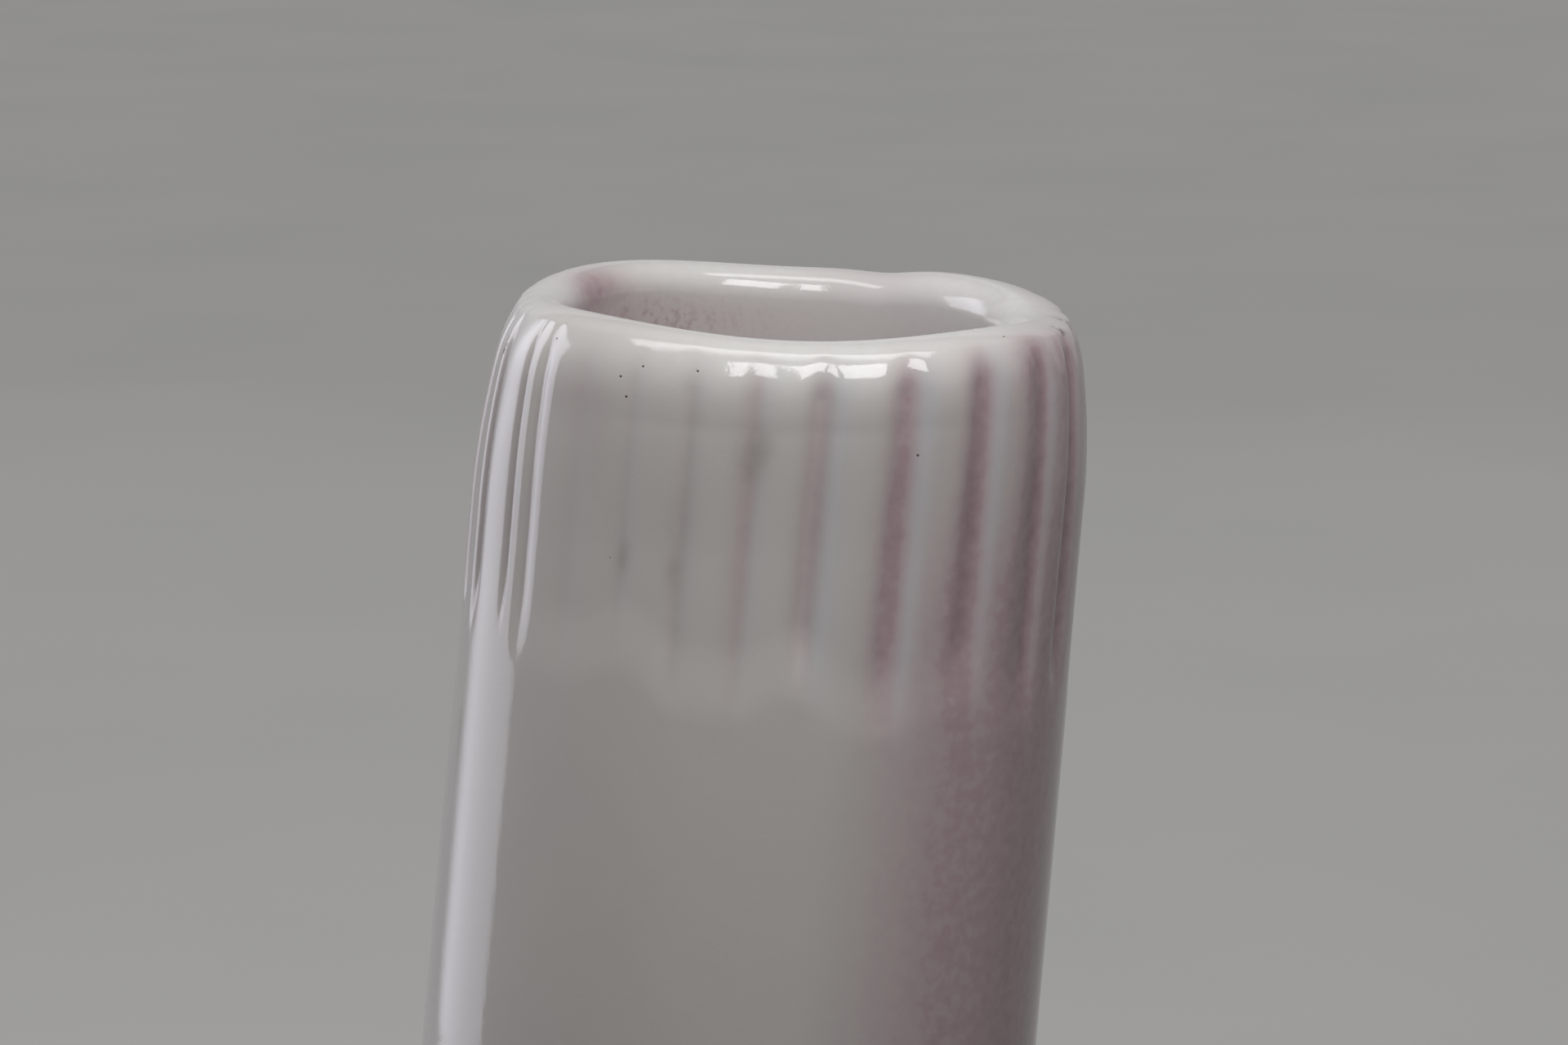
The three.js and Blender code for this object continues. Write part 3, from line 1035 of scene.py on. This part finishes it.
@dataclass
class OuterGlaze(Coat):
    """The coat over the outside and the lip, lapped down inside the mouth."""

    columns: int = 540
    bead_height: float = 1.2  # the rolled edge above the bare clay
    bead_swell: float = 0.2
    bead_steps: int = 8
    heel_steps: int = 10
    wall_steps: int = 16
    flute_steps: int = 34
    shoulder_steps: int = 40
    lip_steps: int = 44
    lap_steps: int = 4
    back_rise: float = 0.3  # the face on the clay begins this far above the bead's foot
    back_heel_rows: int = 4
    back_lip_steps: int = 8

    def face(self) -> Rows:
        """Rows of the visible face, from the bead at the foot over the lip to the lap.

        Returns:
            The rows.
        """
        form = self.form
        bead = np.linspace(0, 1, self.bead_steps, endpoint=False)
        rolled = form.glaze * (1 - np.sqrt(1 - (1 - bead) ** 2))
        bead_depth = rolled - self.bead_swell * np.sin(math.pi * bead) ** 2
        bead_top = form.coat_foot + self.bead_height
        flutes_foot = form.height - form.flute_length - form.flute_slant
        heights = np.concatenate([
            np.linspace(bead_top, form.heel_top, self.heel_steps, endpoint=False),
            np.linspace(form.heel_top, flutes_foot, self.wall_steps, endpoint=False),
            np.linspace(flutes_foot, form.shoulder_foot, self.flute_steps, endpoint=False),
            np.linspace(form.shoulder_foot, form.edge_top, self.shoulder_steps, endpoint=False),
        ])
        lap = np.linspace(form.mouth_top, form.lap_end, self.lap_steps + 1)[1:]
        return form.outside(form.coat_foot + self.bead_height * bead, bead_depth).joined(
            form.outside(heights, 0), form.lip(self.lip_steps, 0), form.inside(lap, form.wall))

    def back(self) -> Rows:
        """Rows of the face on the clay, from the foot over the lip to the lap.

        Returns:
            The rows.
        """
        form = self.form
        edge_foot = form.edge_top - form.edge_height
        heel = np.linspace(form.coat_foot + self.back_rise, form.heel_top, self.back_heel_rows)
        heights = np.concatenate([heel, [form.shoulder_foot, edge_foot, form.lip_foot]])
        return form.outside(heights, form.glaze).joined(
            form.lip(self.back_lip_steps, form.glaze),
            form.inside(np.array([form.lap_end]), form.wall - form.glaze))

    def build(self) -> bpy.types.Object:
        """Build the coat."""
        rows = self.face().joined(self.back().reversed())
        return self.finished("outer_glaze_coat", "outer_glaze", rows, self.columns)


@dataclass
class InnerGlaze(Coat):
    """The liner from the lap down the inside, round the corner and over the floor."""

    columns: int = 216
    fillet_steps: int = 8
    floor_steps: int = 11
    back_rows: int = 12
    wall_rows: int = 60

    def build(self) -> bpy.types.Object:
        """Build the liner.

        Returns:
            The piece.
        """
        form = self.form
        fillet_top = form.floor_top + form.floor_fillet
        fillet_radius = form.inside(np.array([fillet_top]), form.wall).radius[0] - form.floor_fillet
        bend = np.linspace(0, math.pi / 2, self.fillet_steps + 1)[1:]
        level = np.concatenate([
            fillet_top - form.floor_fillet * np.sin(bend), np.full(self.floor_steps, form.floor_top)])
        radius = np.concatenate([
            fillet_radius + form.floor_fillet * np.cos(bend),
            fillet_radius * np.linspace(1, 0, self.floor_steps + 1)[1:]])
        floor = Rows.plain(radius, level, form.lip_run + form.mouth_top - level)
        under = np.full(1, form.wall_foot)
        rows = Rows.plain(np.zeros(1), under, under).joined(
            form.inside(np.linspace(form.wall_foot, form.lap_end, self.back_rows), form.wall - form.glaze),
            form.inside(np.linspace(form.lap_end, fillet_top, self.wall_rows), form.wall), floor)
        return self.finished("inner_glaze_coat", "inner_glaze", rows, self.columns)


@dataclass
class ClayBody:
    """The bare clay: the wall and slab as they are, and a foot ring whose edges were rubbed smooth."""

    form: HandForm
    clay: bpy.types.Material
    rubbed: bpy.types.Material
    columns: int = 216
    rounding_steps: int = 8
    flat_rows: int = 4

    def foot_ring(self) -> bpy.types.Object:
        """Build the foot ring.

        Returns:
            The piece.
        """
        form = self.form
        heel = form.outside(np.array([form.slab_foot]), form.glaze + form.bond).radius[0]
        outer = heel - form.foot_inset
        inner = outer - form.foot_width
        bend = np.linspace(0, math.pi / 2, self.rounding_steps + 1)
        easing = form.foot_rounding
        radius = np.concatenate([
            inner + easing * (1 - np.cos(bend)),
            np.linspace(inner + easing, outer - easing, self.flat_rows + 2)[1:-1],
            outer - easing * (1 - np.sin(bend)), [outer, outer, inner, inner]])
        level = np.concatenate([
            easing * (1 - np.sin(bend)), np.zeros(self.flat_rows), easing * (1 - np.cos(bend)),
            [form.foot_height / 2, form.foot_height, form.foot_height, form.foot_height / 2]])
        rows = Rows.plain(radius, level, level - form.edge_top)
        piece = turned_piece("foot_ring_rubbed", form.place(rows, form.turns(self.columns)), {})
        piece.data.materials.append(self.rubbed)
        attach(piece, BODY)
        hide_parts("foot_ring")
        return piece

    def build(self) -> list[bpy.types.Object]:
        """Dress the wall and slab and build the foot ring.

        Returns:
            The pieces.
        """
        shown = [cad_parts[name] for name in ("clay_wall", "base_slab")]
        for node in shown:
            node.data.materials.clear()
            node.data.materials.append(self.clay)
        return [*shown, self.foot_ring()]


@dataclass(frozen=True)
class Softbox:
    """A lamp behind a diffuser: its size in metres, how bright it is and how it fades.

    fade is the part of its width over which it fades in, low its share of brightness along its foot,
    foot where up its height that share begins and ends to rise, and soft the part of its height over
    which its long edges fade.
    """

    name: str
    place: Vector
    facing: Vector
    width: float
    height: float
    radiance: float
    tint: str = "#ffffff"
    fade: float = 0.001
    low: float = 1.0
    soft: float = 0.001
    foot: tuple[float, float] = (0.25, 0.6)

    def build(self) -> None:
        """Set up the lamp."""
        data = bpy.data.lights.new(self.name, "AREA")
        data.shape = "RECTANGLE"
        data.size, data.size_y = self.width, self.height
        data.energy = self.radiance * math.pi * self.width * self.height
        data.color = linear(self.tint)[:3]
        data.use_nodes = True
        tree = data.node_tree
        tree.nodes.clear()
        across = add_node(tree, "SeparateXYZ", {0: add_node(tree, "NewGeometry").outputs["Parametric"]})
        near_edge = add_node(tree, "Math", {0: across.outputs[1], 1: 0.5}, operation="PINGPONG")
        level = 1.0
        for value, begin, full, least in (
            (across.outputs[0], 0.0, self.fade, 0.0),
            (across.outputs[1], *self.foot, self.low),
            (near_edge.outputs[0], 0.0, self.soft, 0.0),
        ):
            share = add_node(tree, "MapRange", {
                "Value": value, "From Min": begin, "From Max": full, "To Min": least,
            }, interpolation_type="SMOOTHSTEP")
            level = add_node(tree, "Math", {0: level, 1: share.outputs[0]},
                             operation="MULTIPLY").outputs[0]
        glow = add_node(tree, "Emission", {"Strength": level})
        add_node(tree, "OutputLight", {"Surface": glow.outputs[0]})
        lamp = bpy.data.objects.new(self.name, data)
        bpy.context.scene.collection.objects.link(lamp)
        lamp.location = self.place
        lamp.rotation_mode = "QUATERNION"
        lamp.rotation_quaternion = self.facing.to_track_quat("-Z", "Y")
        lamp.visible_camera = False


@dataclass
class Studio:
    """The pale table, the lamps and the camera. Places are in metres."""

    paint: bpy.types.Material
    form: HandForm
    reach: float = 8
    room: str = "#c8c8ca"
    room_strength: float = 0.06
    lens: float = 100
    sensor: float = 36
    camera_distance: float = 0.4931  # to the middle of the rim
    camera_elevation: float = math.radians(8.5128)
    camera_drop: float = 0.0515  # aimed this much lower than the rim
    camera_yaw: float = -0.0025
    pane_distance: float = 0.38
    back_distance: float = 1.1
    side_distance: float = 0.5
    side_lift: float = 0.04
    top_offset: tuple[float, float, float] = (-0.04, -0.17, 0.84)

    def rim(self) -> Vector:
        """The middle of the rim."""
        form = self.form
        return Vector((form.lean * form.height + form.shift[0], form.shift[1], form.height)) * MM

    def floor(self) -> None:
        """Lay the table."""
        far = self.reach
        mesh = bpy.data.meshes.new("table")
        corners = [(-far, -far, 0), (far, -far, 0), (far, far, 0), (-far, far, 0)]
        mesh.from_pydata(corners, [], [(0, 1, 2, 3)])
        mesh.materials.append(self.paint)
        table = bpy.data.objects.new("table", mesh)
        bpy.context.scene.collection.objects.link(table)

    def away(self, azimuth_deg: float, elevation_deg: float) -> Vector:
        """Direction from the vase, with the azimuth measured from the front towards +X."""
        a, e = math.radians(azimuth_deg), math.radians(elevation_deg)
        return Vector((math.sin(a) * math.cos(e), -math.cos(a) * math.cos(e), math.sin(e)))

    def light(self) -> None:
        """Set up the lamps and the light of the room."""
        world = bpy.data.worlds.new("room")
        world.use_nodes = True
        world.node_tree.nodes["Background"].inputs["Color"].default_value = linear(self.room)
        world.node_tree.nodes["Background"].inputs["Strength"].default_value = self.room_strength
        bpy.context.scene.world = world
        rim = self.rim()
        left, right, side = self.away(-9.6, 44), self.away(21.5, 44), self.away(-119, 0)
        back = self.away(176, 13)
        side_place = rim + self.side_distance * side + Vector((0, 0, self.side_lift))
        for softbox in (
            Softbox("top_softbox", rim + Vector(self.top_offset), Vector((0, 0, -1)), 1.0, 0.4, 4.8,
                    soft=0.5),
            Softbox("front_left_pane", rim + self.pane_distance * left, -left, 0.058, 0.16, 7.2),
            Softbox("front_right_pane", rim + self.pane_distance * right, -right, 0.172, 0.16, 7.2),
            Softbox("back_panel", rim + self.back_distance * back, -back, 2.8, 0.6, 0.36),
            Softbox("side_softbox", side_place, -side, 0.4, 0.52, 3.0, "#f5f4ff", fade=0.35, low=0.58),
        ):
            softbox.build()

    def camera(self) -> None:
        """Set the camera where the photograph was taken from."""
        data = bpy.data.cameras.new("camera")
        data.lens, data.sensor_width, data.sensor_fit = self.lens, self.sensor, "HORIZONTAL"
        camera = bpy.data.objects.new("camera", data)
        bpy.context.scene.collection.objects.link(camera)
        up, aim, yaw = self.camera_elevation, self.camera_elevation + self.camera_drop, self.camera_yaw
        camera.location = self.rim() + self.camera_distance * Vector((0, -math.cos(up), math.sin(up)))
        forward = Vector((math.sin(yaw) * math.cos(aim), math.cos(yaw) * math.cos(aim), -math.sin(aim)))
        camera.rotation_mode = "QUATERNION"
        camera.rotation_quaternion = forward.to_track_quat("-Z", "Y")
        bpy.context.scene.camera = camera

    def build(self) -> None:
        """Build the studio."""
        self.floor()
        self.light()
        self.camera()


def set_on_frame(form: HandForm) -> None:
    """Shift the form so that its coat lies where the solid coat lies.

    Args:
        form: The form to shift.
    """
    low, high = (np.array(corner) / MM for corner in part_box("outer_glaze"))
    heights = np.linspace(form.coat_foot, form.edge_top, FRAME_ROWS)
    turn = form.turns(form.flute_count * FRAME_COLUMNS)
    points = form.place(form.outside(heights, 0), turn).reshape(-1, 3)
    middle = (low + high - points.min(0) - points.max(0)) / 2
    form.shift = np.array([middle[0], middle[1], 0])


def speck_places(form: HandForm) -> tuple[Vector, ...]:
    """Where the dark specks lie on the outer coat.

    Args:
        form: The vase's form.

    Returns:
        Points in metres.
    """
    heights = np.linspace(form.shoulder_foot, form.edge_top, SPECK_ROWS)
    rows = form.outside(heights, 0).joined(form.lip(SPECK_LIP_STEPS, 0))
    turn = form.turns(form.flute_count * SPECK_COLUMNS)
    points, angle = form.place(rows, turn), np.degrees(form.angle_of(turn))
    return tuple(Vector(points[np.abs(rows.run - run).argmin(), np.abs(angle - degrees).argmin()] * MM)
                 for degrees, run in SPECKS)


def main() -> None:
    """Build the vase and the studio, and report each piece."""
    logging.basicConfig(level=logging.INFO, format="%(message)s")
    bpy.context.scene.view_settings.view_transform = "Standard"
    form = HandForm()
    set_on_frame(form)
    glaze = MilkGlaze(speck_places(form)).material()
    clay = FiredClay().material()
    rubbed = FiredClay("pale_stoneware_rubbed", "#c9b9a3", "#ad9579", roughness=0.7,
                       grog_height_mm=0.02).material()
    pieces = [OuterGlaze(form, glaze).build(), InnerGlaze(form, glaze).build(),
              *ClayBody(form, clay, rubbed).build()]
    for piece in pieces:
        LOG.info("%s: %d faces", piece.name, len(piece.data.polygons))
    Studio(PaintedBoard().material(), form).build()


if __name__ == "__main__":
    main()
